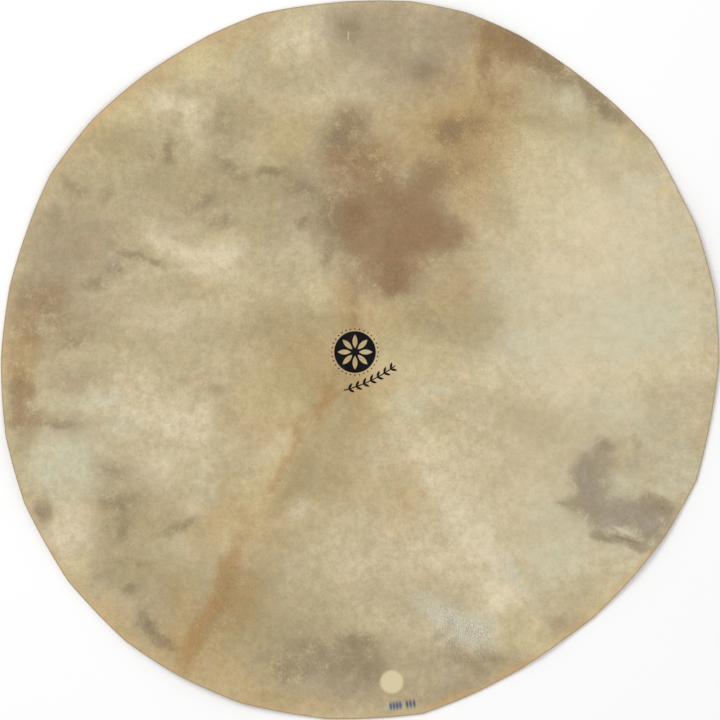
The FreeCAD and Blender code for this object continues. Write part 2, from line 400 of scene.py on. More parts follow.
# %% Grey and mauve clouds, where dark hair grew
lay("mauve", [
    (15, 262, 34, 20, 0.6), (30, 230, 24, 12, -20, 0.7), (52, 228, 12, 8, 0.8), (62, 240, 16, 24, 0.6),
    (70, 262, 20, 14, 0.5), (80, 255, 10, 14, 0.6), (25, 250, 16, 14, 0.3), (75, 60, 20, 16, 0.3),
    (60, 28, 14, 10, 0.4), (-225, 95, 34, 34, 0.55), (60, 215, 20, 16, 0.35), (20, 60, 40, 16, 0.25),
    (-200, 88, 28, 22, -20, 0.35), (-205, 48, 26, 24, 0.25), (-240, 70, 24, 30, 0.6),
    (-165, 45, 26, 20, 0.12), (-215, 25, 24, 16, 0.4), (-120, 120, 26, 12, 0.35),
    (-110, 150, 14, 10, 0.4), (-5, 255, 22, 20, 0.6), (-20, 262, 14, 10, 0.4), (-170, 130, 20, 20, 0.2),
    (-45, 120, 14, 14, 0.4), (-20, 90, 16, 20, 0.4), (-20, -242, 40, 17, 0.6), (-70, -235, 20, 16, 0.4),
    (-40, -212, 34, 10, 0.25), (-10, -260, 30, 10, 0.4), (-165, -195, 20, 24, 30, 0.5),
    (-200, -165, 14, 14, 0.3), (-180, -90, 26, 14, 0.4), (-195, -140, 14, 14, 0.3),
    (-245, -120, 8, 12, 0.4), (-225, -45, 30, 6, 0.3), (10, -228, 40, 14, 0.4), (10, -248, 26, 16, 0.4),
    (60, -252, 40, 12, 15, 0.35), (90, -247, 26, 10, 25, 0.35), (190, -115, 30, 22, 0.12),
    (-220, -15, 24, 14, 0.45), (-262, -62, 10, 10, 0.3), (30, 215, 30, 16, 0.3), (40, -198, 16, 10, 0.15),
    (130, -50, 26, 8, -25, 0.15), (60, -262, 40, 6, 14, 0.4), (150, -210, 20, 8, 35, 0.3),
    (235, -60, 20, 30, 0.2), (210, -80, 20, 10, 0.3), (255, -25, 14, 14, 0.3), (-15, 160, 28, 26, 0.45),
    (10, 152, 30, 18, 0.3), (-30, 118, 20, 24, 0.4), (-25, 98, 14, 20, 0.4), (-60, 100, 20, 20, 0.35),
    (-105, 175, 16, 16, 0.4), (30, 62, 26, 16, 0.35), (138, 220, 18, 12, -35, 0.35),
    (-20, -18, 14, 10, 0.2), (20, 235, 50, 34, 0.25), (-222, -56, 22, 9, 0.3), (182, -104, 12, 20, 0.5),
    (215, -124, 30, 14, -10, 0.5), (-60, 140, 24, 16, 0.25), (-142, 104, 16, 14, 0.3),
    (20, 180, 16, 14, 0.15),
])

# %% The ochre streak, and the ochre edge on the left
lay("ochre", [
    (-262, 12, 16, 20, 0.4), (-10, 40, 10, 30, 10, 0.3), (-28, -28, 6, 18, -15, 0.5),
    (-30, -35, 14, 8, 60, 0.4), (-47, -52, 5, 10, -20, 0.4), (-53, -72, 14, 4, 62, 0.35),
    (-68, -96, 12, 5, 60, 0.4), (-88, -130, 14, 8, 62, 0.25), (-101, -156, 20, 8, 66, 0.6),
    (-110, -180, 22, 8.5, 66, 0.65), (-97, -182, 30, 15, 62, 0.3), (-122, -205, 22, 8, 64, 0.65),
    (-133, -229, 20, 8, 66, 0.6), (-120, -225, 16, 20, 0.15), (-265, -10, 12, 16, 0.3),
    (-100, -205, 24, 20, 0.15), (0, -45, 10, 40, 0.12), (-5, -20, 10, 14, 0.12),
    (75, -264, 24, 5, 18, 0.5), (120, -242, 20, 5, 30, 0.4), (232, -147, 10, 4, 50, 0.5),
    (5, 150, 30, 18, 0.4), (80, 185, 40, 40, 0.3), (-92, -186, 34, 16, 60, 0.08), (-30, -6, 30, 24, 0.15),
    (-60, -76, 40, 16, 62, 0.16), (-100, -138, 20, 22, 0.06), (-142, -216, 16, 20, 0.22),
    (-70, -140, 24, 20, 0.12), (-138, -182, 12, 14, 0.15),
])

# %% The umber patches, above the mark and at the upper right of the edge
lay("umber", [
    (25, 102, 46, 24, -8, 1.0), (48, 116, 17, 28, -15, 0.7), (24, 78, 24, 20, 0.9), (66, 96, 20, 14, 0.8),
    (28, 60, 12, 9, 0.6), (50, 142, 12, 15, -25, 0.6), (-8, 113, 15, 13, 0.7), (15, 130, 26, 12, 0.4),
    (70, 176, 11, 10, 0.5), (86, 182, 24, 9, 0.22), (110, 248, 22, 12, -30, 1.0), (96, 240, 6, 16, 0.5),
    (130, 242, 16, 9, -30, 0.8), (150, 229, 14, 8, -35, 0.8), (98, 222, 6, 20, 10, 0.35),
    (110, 205, 14, 10, 0.35), (115, 230, 22, 14, 0.2), (-8, 120, 20, 20, 0.4), (-10, 160, 22, 20, 0.35),
    (5, 150, 30, 20, 0.3), (-5, 183, 13, 17, 0.45), (-250, 30, 28, 24, 20, 0.4), (-240, 50, 16, 14, 0.3),
    (-262, 50, 14, 16, 0.3), (-5, 95, 12, 30, 0.4), (-3, 45, 6, 24, 0.3), (-262, -45, 14, 10, 0.8),
    (-265, -25, 10, 14, 0.5), (80, 150, 14, 14, 0.3), (60, 146, 14, 16, 0.4),
    (138, 224, 14, 10, -35, 0.25), (-264, -20, 10, 18, 0.4), (28, 126, 16, 16, 0.6),
    (-108, -190, 34, 5, 66, 0.2), (20, 62, 14, 16, 0.3), (-80, -142, 40, 12, 0.06),
    (-140, -182, 12, 12, 0.1), (-20, -60, 16, 14, 0.08),
])

# %% The darkest specks, smears and edges
lay("soot", [
    (50, 224, 8, 5, 0.4), (175, 212, 16, 6, -42, 0.8), (197, 192, 12, 6, -42, 1.0),
    (150, 228, 14, 6, -38, 0.6), (155, 215, 8, 6, 0.3), (185, 200, 20, 8, -42, 0.5),
    (128, 246, 24, 4, -30, 0.6), (-149, 163, 4, 12, 0.75), (-158, 158, 10, 3, -20, 0.4),
    (-105, 152, 12, 6, -30, 0.5), (-92, 142, 6, 8, 20, 0.4), (-68, 147, 14, 4, 5, 0.65),
    (-42, 133, 18, 9, -15, 0.65), (-22, 110, 8, 14, 0.45), (-43, 108, 6, 6, 0.5),
    (-10, 184, 15, 10, 30, 0.45), (-18, 170, 10, 8, 0.5), (-128, 117, 12, 4, 0.45),
    (-118, 125, 6, 10, -30, 0.4), (-110, 106, 14, 6, 0.5), (-175, 82, 18, 4, -22, 0.6),
    (-190, 72, 10, 5, 0.5), (-205, 58, 10, 6, 0.5), (-222, 133, 12, 5, -35, 0.5),
    (-196, 130, 6, 10, -30, 0.3), (-237, 110, 8, 10, 0.3), (-222, 14, 14, 6, 20, 0.5),
    (-160, 77, 14, 3, -15, 0.4), (-25, 80, 5, 12, 0.5), (-8, 258, 8, 10, 0.5), (-105, 190, 8, 12, 0.3),
    (-235, -50, 18, 3, -8, 0.6), (-190, -110, 10, 8, -20, 0.6), (-175, -108, 12, 5, 0.4),
    (-195, -85, 12, 10, -30, 0.3), (-185, -130, 8, 10, 0.5), (-175, -157, 12, 4, 0.4),
    (-177, -178, 8, 4, 0.7), (-165, -205, 8, 12, 40, 0.6), (-155, -215, 14, 5, -45, 0.7),
    (-148, -224, 8, 4, -40, 0.5), (-140, -130, 14, 4, 20, 0.5), (-245, -118, 8, 6, 0.6),
    (-30, -235, 36, 14, 0.3), (-55, -243, 12, 10, 0.5), (-40, -222, 16, 6, 0.4), (-5, -218, 14, 6, 0.5),
    (0, -245, 20, 12, 0.3), (-112, -23, 8, 6, 0.3), (182, -85, 12, 18, -25, 0.9), (190, -65, 8, 6, 0.8),
    (172, -90, 8, 14, 0.6), (180, -105, 12, 10, 0.7), (172, -113, 14, 6, -25, 0.7),
    (183, -128, 6, 12, 10, 0.6), (200, -120, 16, 8, 0.6), (222, -112, 12, 8, 0.5),
    (236, -113, 10, 6, -20, 0.8), (226, -135, 12, 7, -20, 0.65), (205, -140, 18, 4, -10, 0.8),
    (190, -138, 10, 4, -10, 0.6), (215, -122, 20, 12, 0.3), (157, -111, 6, 2, 0.5),
    (217, -145, 12, 3, 0.5), (214, -65, 3, 6, 0.4), (85, -232, 20, 6, 0.5), (105, -228, 16, 6, -10, 0.35),
    (75, -222, 8, 4, -40, 0.6), (95, -240, 20, 6, 20, 0.2), (0, -225, 14, 12, 0.5),
    (10, -240, 10, 8, 0.4), (60, -235, 16, 10, 0.25), (65, -210, 3, 10, -45, 0.5),
    (200, -122, 30, 10, -8, 0.35), (226, -124, 16, 14, 0.4), (180, -96, 10, 20, 0.3),
    (68, 179, 9, 4, -20, 0.4), (82, 184, 14, 3, 0.25), (64, 172, 4, 8, 0.3),
])

# %% Ash, a pale lilac dust that lies over the darkest patch, at the lower right
lay("ash", [
    (181, -96, 14, 30, 0.55), (214, -124, 28, 14, -10, 0.65), (190, -128, 14, 10, 0.35),
])

# %% Where the surface is polished and carries a painted sheen, the hair's roots show, the mottling is calm, the rim is tinted
lay("polish_and_sheen", [
    (80, -208, 25, 14, -36, 1.0), (94, -212, 14, 12, -30, 0.5), (122, -172, 32, 4.5, -50, 0.6),
    (55, -188, 18, 9, -25, 0.6), (105, -160, 16, 16, 0.3), (64, -230, 20, 22, -30, 0.22),
])
lay("roots", [
    (110, 200, 50, 70, 1.0), (90, 150, 40, 50, 0.8), (30, 120, 60, 50, 0.5), (195, -110, 40, 30, 0.9),
    (-230, 60, 40, 70, 0.4), (-120, -190, 50, 50, 0.6), (40, 240, 60, 30, 0.6),
    (-60, -100, 40, 80, -30, 0.5), (-180, -120, 40, 50, 0.5), (-60, 130, 60, 30, 0.4),
    (60, -225, 50, 20, 0.6), (-30, -235, 50, 20, 0.6), (-114, -192, 44, 12, 66, 1.2),
    (-185, -130, 14, 24, 0.8), (-50, -240, 30, 20, 0.5), (75, 178, 26, 14, 1.2),
])
lay("calm", [
    (195, 60, 90, 150, -10, 1.0), (140, -110, 60, 80, 0.7), (-230, -60, 30, 40, 0.6),
])
lay("rim", [
    (-180, 205, 110, 40, 42, 1.0), (-200, -195, 100, 40, -45, 0.8), (190, -195, 90, 40, 45, 0.7),
    (80, -262, 70, 20, 18, 0.9), (-268, 0, 24, 60, 0.5), (-60, -272, 80, 16, -5, 0.5),
])

# %% [markdown]
# ## Helpers for materials
#
# A material in Blender is a tree of nodes. These helpers add one node each and hand back its
# output, so that a recipe reads from top to bottom like the steps of a dye bath.

# %% Small helpers that each add one node
def linear(red, green, blue):
    """A colour given as 0 to 255 display values, as the linear numbers that shaders use."""
    values = [v / 255 for v in (red, green, blue)]
    return [v / 12.92 if v <= 0.04045 else ((v + 0.055) / 1.055) ** 2.4 for v in values] + [1.0]


def put(tree, kind, sockets, **settings):
    """Adds a node, with its settings, and fills its sockets with values or other nodes' outputs."""
    node = tree.nodes.new(kind)
    for name, value in settings.items():
        setattr(node, name, value)
    for key, value in sockets.items():
        if isinstance(value, bpy.types.NodeSocket):
            tree.links.new(value, node.inputs[key])
        else:
            node.inputs[key].default_value = value
    return node


def calc(tree, operation, a, b=0.0):
    """One sum in a Math node, on numbers or other nodes' outputs."""
    return put(tree, "ShaderNodeMath", {0: a, 1: b}, operation=operation).outputs[0]


def times(tree, a, b):
    return calc(tree, "MULTIPLY", a, b)


def plus(tree, a, b):
    return calc(tree, "ADD", a, b)


def minus(tree, a, b):
    return calc(tree, "SUBTRACT", a, b)


def fade(tree, value, start, end, low=0.0, high=1.0):
    """Goes smoothly from low, where value is at start, to high, where it is at end."""
    sockets = {"Value": value, "From Min": start, "From Max": end, "To Min": low, "To Max": high}
    return put(tree, "ShaderNodeMapRange", sockets, interpolation_type="SMOOTHSTEP").outputs[0]


def noise(tree, where, size, detail=3.0, roughness=0.5):
    """Cloudy noise from 0 to 1, whose lumps are about size metres across."""
    sockets = {"Vector": where, "Scale": 1 / size, "Detail": detail, "Roughness": roughness}
    return put(tree, "ShaderNodeTexNoise", sockets).outputs["Fac"]


def streaks(tree, where, long, wide, turn, detail=3.0):
    """Noise whose lumps are long metres by wide metres, turned by turn degrees."""
    scale = (long, wide, wide)
    turned = put(tree, "ShaderNodeMapping", {
        "Vector": where, "Rotation": (0, 0, math.radians(turn)), "Scale": scale,
    }, vector_type="TEXTURE").outputs[0]
    sockets = {"Vector": turned, "Scale": 1.0, "Detail": detail}
    return put(tree, "ShaderNodeTexNoise", sockets).outputs["Fac"]


def stored(tree, name):
    """A number that was stored on the mesh's points."""
    return put(tree, "ShaderNodeAttribute", {}, attribute_name=name).outputs["Fac"]


def tint(tree, amount, below, above, blend="MIX"):
    """Lays the colour above over the colour below, by amount."""
    node = put(tree, "ShaderNodeMix", {0: amount, 6: below, 7: above}, data_type="RGBA",
               blend_type=blend, clamp_factor=True)
    return node.outputs[2]


def spot(tree, where, x, y, long, wide, turn, start=1.0, end=0.7):
    """One crisp oval: x, y, half length and half width in mm, from 0 at start to 1 at end."""
    oval = put(tree, "ShaderNodeMapping", {
        "Vector": where, "Location": (x * MM, y * MM, 0),
        "Rotation": (0, 0, math.radians(turn)), "Scale": (long * MM, wide * MM, 1),
    }, vector_type="TEXTURE").outputs[0]
    away = put(tree, "ShaderNodeVectorMath", {0: oval}, operation="LENGTH").outputs["Value"]
    return fade(tree, away, start, end)


def new_material(name):
    """An empty material, its tree, and the place on the piece that its patterns read."""
    material = bpy.data.materials.new(name)
    material.use_nodes = True
    material.node_tree.nodes.clear()
    place = put(material.node_tree, "ShaderNodeTexCoord", {}).outputs["Object"]
    return material, material.node_tree, place


def finish_material(tree, colour, roughness, height=None, relief=0.1 * MM, **constants):
    """Ends a material: constants are the shader's own sockets, with _ for a space."""
    sockets = {"Base Color": colour, "Roughness": roughness}
    sockets.update({name.replace("_", " "): value for name, value in constants.items()})
    if height is not None:
        bump = put(tree, "ShaderNodeBump", {"Height": height, "Strength": 1.0, "Distance": relief})
        sockets["Normal"] = bump.outputs[0]
    shader = put(tree, "ShaderNodeBsdfPrincipled", sockets)
    put(tree, "ShaderNodeOutputMaterial", {"Surface": shader.outputs[0]})


# %% [markdown]
# ## The grain side
#
# Each pigment was stored on the mesh as a soft cloud. Here fine noise, the grit, is added before
# the pigment is used: in a cloud's soft edge it tips some spots into the colour and others out of
# it, so the edge looks grown. Then come the washes, the follicles and the polished patch with a painted
# sheen.

# %% The grain side's pigments
grain, tree, place = new_material("grain_side")
coarse = fade(tree, noise(tree, place, 9 * MM, 8.0, 0.66), 0.34, 0.66, -0.5, 0.5)
spray = fade(tree, noise(tree, place, 1.9 * MM, 3.0, 0.6), 0.3, 0.7, -0.5, 0.5)
grit = plus(tree, times(tree, coarse, 0.7), times(tree, spray, 0.45))
clouds = noise(tree, place, 24 * MM, 5.0, 0.6)
thinned = fade(tree, clouds, 0.3, 0.7, 0.85, 1.15)
LEFT_AT_ONE = 0.27  # how much of the colour below still shows through a stroke of strength 1


def pigment(name, broken):
    """How much a stored pigment hides: thinned in clouds, rough at its edges, never quite solid."""
    amount = times(tree, stored(tree, name), thinned)
    bite = times(tree, times(tree, grit, broken), fade(tree, amount, 0.0, 0.5))
    laid = calc(tree, "MAXIMUM", plus(tree, amount, bite), 0.0)
    return minus(tree, 1.0, calc(tree, "POWER", LEFT_AT_ONE, laid))


PIGMENTS = [  # name, how broken its edges are, colour
    ("warm", 0.4, (188, 160, 110)),
    ("straw", 0.45, (211, 196, 150)),
    ("pale", 0.5, (221, 208, 177)),
    ("cool_and_sheen", 0.4, (202, 197, 168)),
    ("olive", 0.6, (163, 146, 104)),
    ("mauve", 0.65, (158, 140, 113)),
    ("ochre", 0.8, (167, 128, 68)),
    ("umber", 0.8, (134, 101, 62)),
    ("soot", 1.0, (134, 116, 86)),
    ("ash", 0.9, (168, 157, 140)),
]
colour = tint(tree, fade(tree, clouds, 0.35, 0.65), linear(186, 170, 132), linear(192, 176, 139))
for name, broken, shade in PIGMENTS:
    colour = tint(tree, pigment(name, broken), colour, linear(*shade))

# %% Mottling at three scales, everywhere, but gentler where the skin is calm
broad = noise(tree, place, 30 * MM, 4.0, 0.6)
middling = noise(tree, place, 6 * MM, 5.0, 0.65)
fine = noise(tree, place, 1.6 * MM, 3.0, 0.6)
speckled = plus(tree, times(tree, middling, 0.6), times(tree, fine, 0.4))
shade = fade(tree, speckled, 0.34, 0.66, 0.87, 1.10)
shade = times(tree, shade, fade(tree, broad, 0.3, 0.7, 0.97, 1.03))
CALM_SWING = 0.45  # how much of the mottling is left where the skin is calm
MEAN_SHADE = 0.985
swing = fade(tree, stored(tree, "calm"), 0.0, 1.0, 1.0, CALM_SWING)
shade = times(tree, minus(tree, shade, MEAN_SHADE), swing)
shade = plus(tree, shade, MEAN_SHADE)
grey = put(tree, "ShaderNodeCombineColor", {0: shade, 1: shade, 2: calc(tree, "POWER", shade, 1.25)})
colour = tint(tree, 1.0, colour, grey.outputs[0], "MULTIPLY")
blush = tint(tree, fade(tree, noise(tree, place, 11 * MM, 6.0, 0.7), 0.38, 0.62),
             (1.0, 0.972, 0.95, 1.0), (0.985, 1.0, 1.01, 1.0))
colour = tint(tree, 1.0, colour, blush, "MULTIPLY")

# %% Follicles, where hair roots are still in the skin, in peppery clusters
def dots(size, reach, share):
    """Soft dots in cells of about size, as wide as reach of a cell, in the given share of cells."""
    cells = put(tree, "ShaderNodeTexVoronoi", {"Vector": place, "Scale": 1 / size})
    chance = put(tree, "ShaderNodeSeparateColor", {0: cells.outputs["Color"]}).outputs[0]
    kept = fade(tree, minus(tree, share, chance), -0.1, 0.1)
    return times(tree, fade(tree, cells.outputs["Distance"], reach, reach * 0.2), kept)


crowding = times(tree, stored(tree, "roots"), fade(tree, middling, 0.4, 0.62, 0.1, 0.75))
small_dots = dots(1.5 * MM, 0.42, crowding)
large_dots = dots(2.7 * MM, 0.26, times(tree, crowding, 0.35))
follicles = calc(tree, "MAXIMUM", small_dots, times(tree, large_dots, 1.5))
colour = tint(tree, times(tree, follicles, 0.42), colour, linear(112, 90, 62))
pepper = times(tree, fade(tree, fine, 0.5, 0.66), stored(tree, "roots"))
colour = tint(tree, times(tree, pepper, 0.32), colour, linear(132, 106, 74))

# %% The rim: a thin darker line along the cut itself, and a warm band inside it
from_cut = stored(tree, "from_cut")
RIM_WANDER = 9 * MM  # how far the warm band's inner edge strays
sway = minus(tree, noise(tree, place, 22 * MM, 4.0, 0.6), 0.5)
uneven = times(tree, sway, RIM_WANDER)
rim_band = fade(tree, plus(tree, from_cut, uneven), 8.0 * MM, 1.0 * MM)
rim_amount = times(tree, times(tree, rim_band, stored(tree, "rim")), 0.5)
colour = tint(tree, rim_amount, colour, linear(201, 168, 124))
rim_line = times(tree, fade(tree, from_cut, 1.4 * MM, 0.3 * MM), 0.6)
colour = tint(tree, rim_line, colour, linear(136, 114, 80))

# %% A few small marks that are crisper than a cloud: x, y, half length, half width, turn, strength
PALE_NICKS = [
    (205, -133, 13.0, 2.6, -24, 0.75), (-9, 252, 5.5, 0.9, 90, 0.6), (176, -122, 5, 0.9, 60, 0.4),
]
for x, y, long, wide, turn, strength in PALE_NICKS:
    nick = times(tree, spot(tree, place, x, y, long, wide, turn, 1.0, 0.3), strength)
    colour = tint(tree, nick, colour, linear(208, 194, 164))
DARK_NICKS = [
    (206, -139, 20, 2.0, -16, 0.5), (-43, 110, 3.4, 2.6, 0, 0.5), (235, -115, 2.6, 2.4, 0, 0.5),
]
for x, y, long, wide, turn, strength in DARK_NICKS:
    nick = times(tree, spot(tree, place, x, y, long, wide, turn, 1.0, 0.2), strength)
    colour = tint(tree, nick, colour, linear(128, 108, 84))
YELLOW_SPOT = (237, 132, 5.5, 4, 60)
yellow_spot = times(tree, spot(tree, place, *YELLOW_SPOT, 1.2, 0.3), 0.6)
colour = tint(tree, yellow_spot, colour, linear(214, 190, 128))

# %% What shows through from below: the paper label, pale, and the stamp, dark and blurred
LABEL_GLOW = 0.8
LABEL_SHOW = 9.6  # mm, half of how wide the label looks through the hide
label_x, label_y = label_middle.x / MM, label_middle.y / MM
label_show = spot(tree, place, label_x, label_y, LABEL_SHOW, LABEL_SHOW, 0, 1.08, 0.78)
colour = tint(tree, times(tree, label_show, LABEL_GLOW), colour, linear(222, 208, 166))
stamp_low, stamp_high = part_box("ink_stamp")
stamp_middle = (stamp_low + stamp_high) / 2
STAMP_TILT = 7
STAMP_BARS = [-9.4, -6.9, -4.4, -1.9, 3.4, 6.2, 9.0]  # mm along the stamp
BLUE_BARS = 4  # this many are still blue, and the rest have gone grey
BAR_SHOW = (1.5, 4.2)  # mm, half of how wide and how high a bar looks through the hide
for k, along in enumerate(STAMP_BARS):
    turn = math.radians(STAMP_TILT)
    bar_x = stamp_middle.x / MM + along * math.cos(turn)
    bar_y = stamp_middle.y / MM + along * math.sin(turn)
    bar = spot(tree, place, bar_x, bar_y, *BAR_SHOW, STAMP_TILT, 1.2, 0.2)
    shown = linear(38, 78, 122) if k < BLUE_BARS else linear(60, 72, 100)
    colour = tint(tree, times(tree, bar, 0.9), colour, shown)

# %% The polished patch: pebbled grain in rows, with a painted highlight on its high spots
PEBBLE_LONG, PEBBLE_WIDE, PEBBLE_TURN = 2.7 * MM, 1.25 * MM, -70
polish_and_sheen = stored(tree, "polish_and_sheen")
rows = put(tree, "ShaderNodeMapping", {
    "Vector": place, "Rotation": (0, 0, math.radians(PEBBLE_TURN)),
    "Scale": (PEBBLE_LONG, PEBBLE_WIDE, PEBBLE_WIDE),
}, vector_type="TEXTURE").outputs[0]
pebbles = put(tree, "ShaderNodeTexVoronoi", {"Vector": rows, "Scale": 1.0})
pebble = fade(tree, pebbles.outputs["Distance"], 0.75, 0.3)
wrinkled = times(tree, pebble, polish_and_sheen)
# Painted highlight: a pale tint over the polished patch, strongest on the pebbles' high spots, standing in
# for the softbox's sheen.
painted_sheen = times(tree, plus(tree, polish_and_sheen, times(tree, grit, 0.4)), 0.45)
colour = tint(tree, times(tree, painted_sheen, fade(tree, pebble, 0.0, 1.0, 0.4, 1.2)),
              colour, linear(218, 211, 193))

# %% The feel of the surface, and the end of the grain side
brushed = streaks(tree, place, 40 * MM, 1.4 * MM, -15, 3.0)
relief = plus(tree, speckled, times(tree, wrinkled, 2.0))
relief = minus(tree, relief, times(tree, follicles, 0.4))
relief = plus(tree, relief, times(tree, brushed, 0.12))
shine = plus(tree, polish_and_sheen, times(tree, grit, 0.2))
finish_material(tree, colour, fade(tree, shine, 0.0, 1.0, 0.6, 0.34), relief, 0.24 * MM,
                Specular_IOR_Level=0.35)
skin_mesh.materials.append(grain)

# %% [markdown]
# ## The cut edge
#
# A hide isn't the same all through. Just under the grain is a tight pale layer, the middle is
# amber and glassy where it dried hard, and towards the flesh the fibres are open. The cut shows
# these as bands, so this material reads the level stored on the points, 0 below and 1 on top.

# %% The cut edge
cut, tree, place = new_material("cut_edge")
level = stored(tree, "level")
ragged = times(tree, minus(tree, noise(tree, place, 1.2 * MM, 4.0, 0.7), 0.5), 0.5)
banded = plus(tree, level, ragged)
colour = tint(tree, fade(tree, banded, 0.1, 0.4), linear(196, 176, 138), linear(168, 132, 82))
colour = tint(tree, fade(tree, banded, 0.62, 0.95), colour, linear(190, 166, 122))
long_bands = noise(tree, place, 35 * MM, 3.0)
colour = tint(tree, fade(tree, long_bands, 0.4, 0.7, 0.0, 0.6), colour, linear(146, 112, 70))
fibres = noise(tree, place, 0.5 * MM, 3.0, 0.7)
finish_material(tree, colour, fade(tree, fibres, 0.3, 0.7, 0.35, 0.6), fibres, 0.12 * MM)
skin_mesh.materials.append(cut)

# %% [markdown]
# ## The flesh side
#
# The underside was scraped, not grown: pale, matt and slightly furry, with the scraper's faint
# chatter in bands and the ghost of a few veins. It shows only when somebody lifts the skin.

# %% The flesh side
flesh, tree, place = new_material("flesh_side")
cloud = noise(tree, place, 60 * MM, 5.0, 0.6)
colour = tint(tree, fade(tree, cloud, 0.35, 0.7), linear(202, 188, 158), linear(184, 164, 128))
chatter = streaks(tree, place, 120 * MM, 5 * MM, 32, 2.0)
colour = tint(tree, fade(tree, chatter, 0.55, 0.75, 0.0, 0.35), colour, linear(170, 150, 116))
VEIN_SWAY = (30 * MM, 30 * MM, 0)
sway = put(tree, "ShaderNodeTexNoise", {"Vector": place, "Scale": 1 / (40 * MM)}).outputs["Color"]
pull = put(tree, "ShaderNodeVectorMath", {0: sway, 1: VEIN_SWAY}, operation="MULTIPLY").outputs[0]
bent = put(tree, "ShaderNodeVectorMath", {0: place, 1: pull}, operation="ADD").outputs[0]
vein_cells = put(tree, "ShaderNodeTexVoronoi", {"Vector": bent, "Scale": 1 / (85 * MM)},
                 feature="DISTANCE_TO_EDGE").outputs["Distance"]
colour = tint(tree, fade(tree, vein_cells, 0.022, 0.0, 0.0, 0.4), colour, linear(150, 124, 96))
fuzz = noise(tree, place, 0.8 * MM, 4.0, 0.75)
colour = tint(tree, fade(tree, fuzz, 0.45, 0.7, 0.0, 0.3), colour, linear(224, 214, 190))
relief = plus(tree, fuzz, times(tree, chatter, 0.8))
finish_material(tree, colour, fade(tree, fuzz, 0.3, 0.7, 0.75, 0.9), relief, 0.25 * MM,
                Specular_IOR_Level=0.2)
skin_mesh.materials.append(flesh)

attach(skin, BODY)
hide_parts("hide_blank")

# %% [markdown]
# ## The printed mark
#
# The ink was stamped on after the skin was dry, so it sits in the middle as a film a twentieth of
# a millimetre thick. The mark is a generic one: a round seal with a rosette of petals left clear,
# a ring of dots, and a leafy sprig below. Everything in it repeats, which is what Geometry Nodes
# are for: each tree below makes one shape, sets copies of it out, and turns the copies into mesh.

# %% Helpers for Geometry Nodes
INK_THICKNESS = 0.05 * MM
SOCKETS = {int: "NodeSocketInt", float: "NodeSocketFloat", tuple: "NodeSocketVector",
           bpy.types.Material: "NodeSocketMaterial", bpy.types.Object: "NodeSocketObject"}


def new_tree(name, inputs):
    """An empty Geometry Nodes tree with named inputs, and the node that hands the inputs over."""
    tree = bpy.data.node_groups.new(name, "GeometryNodeTree")
    tree.interface.new_socket("Geometry", in_out="OUTPUT", socket_type="NodeSocketGeometry")
    for key, value in inputs.items():
        tree.interface.new_socket(key, in_out="INPUT", socket_type=SOCKETS[type(value)])
    return tree, tree.nodes.new("NodeGroupInput").outputs


def run_tree(name, tree, geometry, inputs):
    """Ends a tree, runs it once with its inputs' values, and keeps the result as a plain mesh."""
    handed = next(node for node in tree.nodes if node.bl_idname == "NodeGroupInput").outputs
    real = put(tree, "GeometryNodeRealizeInstances", {0: geometry}).outputs[0]
    dressed = put(tree, "GeometryNodeSetMaterial", {0: real, "Material": handed["Material"]}).outputs[0]
    put(tree, "NodeGroupOutput", {0: dressed})
    piece = add_piece(name, bpy.data.meshes.new(name))
    modifier = piece.modifiers.new(tree.name, "NODES")
    modifier.node_group = tree
    for item in tree.interface.items_tree:
        if item.in_out == "INPUT":
            modifier[item.identifier] = inputs[item.name]
    graph = bpy.context.evaluated_depsgraph_get()
    made = bpy.data.meshes.new_from_object(piece.evaluated_get(graph), depsgraph=graph)
    piece.modifiers.clear()
    piece.data = made
    made.name = name
    print(f"{name}: {len(made.polygons)} faces")
    return piece


def thicken(tree, flat, depth):
    """Gives flat geometry a depth upwards, with an underside, so that it is closed."""
    sockets = {"Mesh": flat, "Offset Scale": depth, "Individual": False}
    raised = put(tree, "GeometryNodeExtrudeMesh", sockets)
    under = put(tree, "GeometryNodeFlipFaces", {"Mesh": flat}).outputs[0]
    joined = put(tree, "GeometryNodeJoinGeometry", {0: raised.outputs[0]})
    tree.links.new(under, joined.inputs[0])
    return put(tree, "GeometryNodeMergeByDistance", {0: joined.outputs[0], "Distance": 1e-6}).outputs[0]


def leaf_curve(tree, start, end, half_width):
    """A pointed leaf along X from start to end: a circle squeezed so that both ends are sharp."""
    circle = put(tree, "GeometryNodeCurvePrimitiveCircle", {"Resolution": LEAF_POINTS, "Radius": 1.0})
    at = put(tree, "ShaderNodeSeparateXYZ", {0: put(tree, "GeometryNodeInputPosition", {}).outputs[0]})
    half = calc(tree, "DIVIDE", minus(tree, end, start), 2.0)
    along = plus(tree, times(tree, at.outputs[0], half), plus(tree, start, half))
    squeezed = times(tree, at.outputs[1], calc(tree, "ABSOLUTE", at.outputs[1]))
    across = times(tree, squeezed, half_width)
    moved = put(tree, "ShaderNodeCombineXYZ", {"X": along, "Y": across}).outputs[0]
    return put(tree, "GeometryNodeSetPosition", {0: circle.outputs[0], "Position": moved}).outputs[0]


# %% The ink: nearly black, a little worn on its high spots
LEAF_POINTS = 24
ink, tree, place = new_material("mark_ink")
flecks = noise(tree, place, 0.9 * MM, 5.0, 0.75)
patches = noise(tree, place, 7 * MM, 3.0, 0.6)
colour = tint(tree, fade(tree, patches, 0.3, 0.7), linear(9, 9, 14), linear(19, 18, 22))
worn = fade(tree, plus(tree, flecks, times(tree, patches, 0.25)), 0.80, 0.86, 0.0, 0.6)
colour = tint(tree, worn, colour, linear(120, 108, 88))
finish_material(tree, colour, fade(tree, flecks, 0.3, 0.7, 0.55, 0.75), flecks, 0.03 * MM,
                Specular_IOR_Level=0.08)

